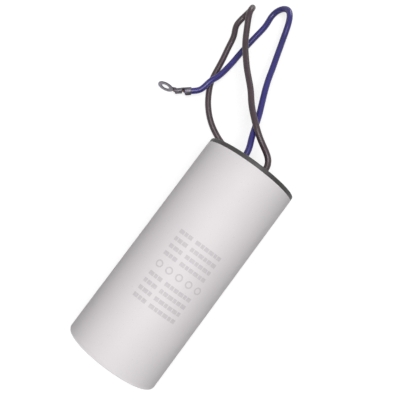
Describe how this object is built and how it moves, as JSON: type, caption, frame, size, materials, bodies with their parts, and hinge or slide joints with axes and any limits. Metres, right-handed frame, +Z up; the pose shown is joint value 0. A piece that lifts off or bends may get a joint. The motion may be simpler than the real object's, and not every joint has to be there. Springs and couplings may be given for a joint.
{
  "type": "motor run capacitor",
  "caption": "White cylindrical plastic capacitor can with a dark lid and two flying leads, blue and brown, each ending in a crimped ring terminal.",
  "frame": {"origin": "on the surface that the can lies on, under the middle of the can and its lid", "axes": "+Y along the can's axis towards the lid and its leads, +Z up from the surface"},
  "size_m": [0.092, 0.2005, 0.05],
  "materials": {
    "case_plastic": "satin moulded plastic",
    "lid_plastic": "satin moulded plastic",
    "potting_resin": "cast resin",
    "spacer_plastic": "moulded plastic",
    "sprayed_zinc": "rough sprayed metal",
    "film": "wound metallised film",
    "core_plastic": "extruded plastic",
    "wrap_film": "clear film, several turns",
    "tinned_copper": "tinned",
    "sleeve_plastic": "extruded plastic",
    "solder": "dull",
    "copper": "bare stranded copper",
    "blue_insulation": "satin extruded insulation",
    "brown_insulation": "satin extruded insulation",
    "terminal_tin": "dull tin plate",
    "print_ink": "faint grey ink"
  },
  "bodies": {
    "root": {"case": "case_plastic", "lid": "lid_plastic", "resin_fill": "potting_resin", "base_spacer": "spacer_plastic", "bottom_contact": "sprayed_zinc", "winding": "film", "top_contact": "sprayed_zinc", "core_tube": "core_plastic", "outer_wrap": "wrap_film", "link_wire": "tinned_copper", "link_sleeve": "sleeve_plastic", "splice_ferrule": "tinned_copper", "top_solder": "solder", "bottom_solder": "solder", "blue_tail": "copper", "brown_tail": "copper", "blue_lead": "blue_insulation", "brown_lead": "brown_insulation", "blue_strands": "copper", "brown_strands": "copper", "blue_terminal": "terminal_tin", "brown_terminal": "terminal_tin"}
  },
  "joints": []
}
